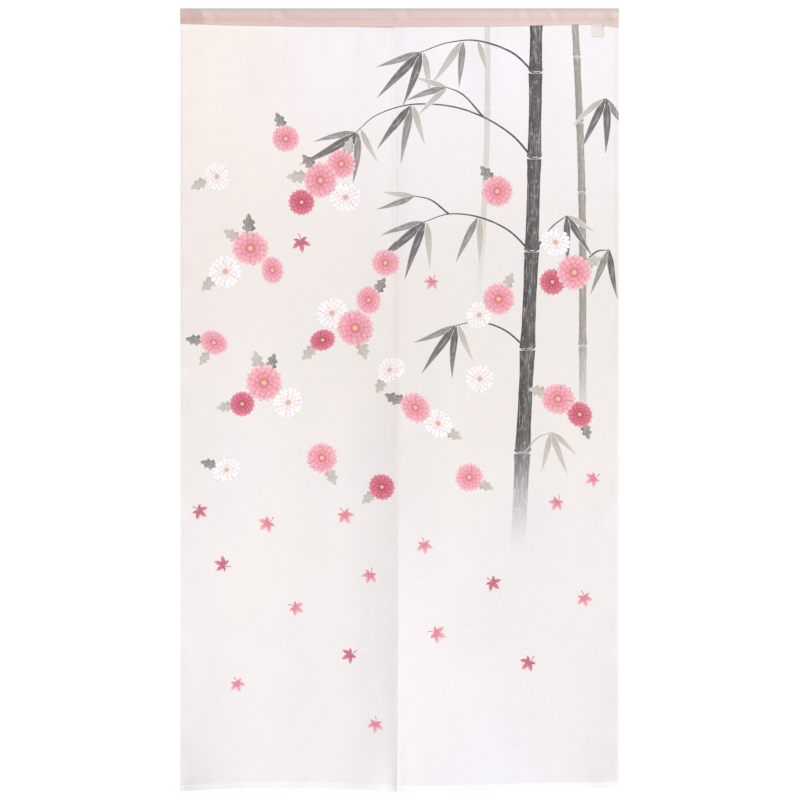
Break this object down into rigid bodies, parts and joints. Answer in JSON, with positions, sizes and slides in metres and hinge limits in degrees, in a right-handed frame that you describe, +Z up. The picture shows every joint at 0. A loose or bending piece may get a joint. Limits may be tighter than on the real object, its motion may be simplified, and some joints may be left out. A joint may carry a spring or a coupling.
{
  "type": "noren curtain",
  "caption": "Long split doorway curtain of pale semi-sheer cloth, its lapped panels sewn into a pink rod-pocket heading, with a soft bamboo and chrysanthemum print.",
  "frame": {"origin": "middle of the heading's top edge, on the line that the rod carries", "axes": "+Z up, +X to the right as seen from the front, the front of the cloth faces -Y"},
  "size_m": [0.8402, 0.0298, 1.5011],
  "materials": {
    "panel_cloth": "matt semi-sheer slub weave with a printed front",
    "heading_cloth": "matt plain weave, pink-beige",
    "label_ribbon": "soft satin ribbon, blank"
  },
  "bodies": {
    "root": {"panel_left": "panel_cloth", "panel_right": "panel_cloth", "heading_sleeve": "heading_cloth", "label": "label_ribbon"}
  },
  "joints": []
}
